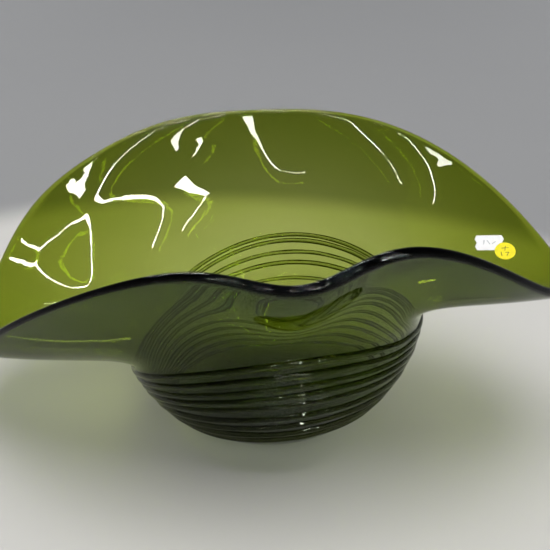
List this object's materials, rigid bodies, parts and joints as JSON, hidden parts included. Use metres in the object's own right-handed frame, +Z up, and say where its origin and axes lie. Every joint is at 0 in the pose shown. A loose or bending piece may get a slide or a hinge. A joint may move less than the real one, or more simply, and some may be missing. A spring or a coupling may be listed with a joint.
{
  "type": "art glass bowl",
  "caption": "Blown green glass bowl: a ball-shaped body wound with glass threads that opens into a wide, waved rim with drooping ends.",
  "frame": {"origin": "centre of the flat foot that the bowl stands on", "axes": "+Z up, X along the long axis of the rim, +Y towards the higher back of the rim"},
  "size_m": [0.4987, 0.3284, 0.2252],
  "materials": {
    "bowl_glass": "fire-polished olive green glass",
    "thread_glass": "fire-polished olive green glass thread",
    "label_paper": "matt white paper",
    "dot_paper": "matt yellow paper"
  },
  "bodies": {
    "root": {"bowl": "bowl_glass", "thread_1": "thread_glass", "thread_2": "thread_glass", "thread_3": "thread_glass", "thread_4": "thread_glass", "thread_5": "thread_glass", "thread_6": "thread_glass", "thread_7": "thread_glass", "thread_8": "thread_glass", "thread_9": "thread_glass", "price_label": "label_paper", "price_dot": "dot_paper"}
  },
  "joints": []
}
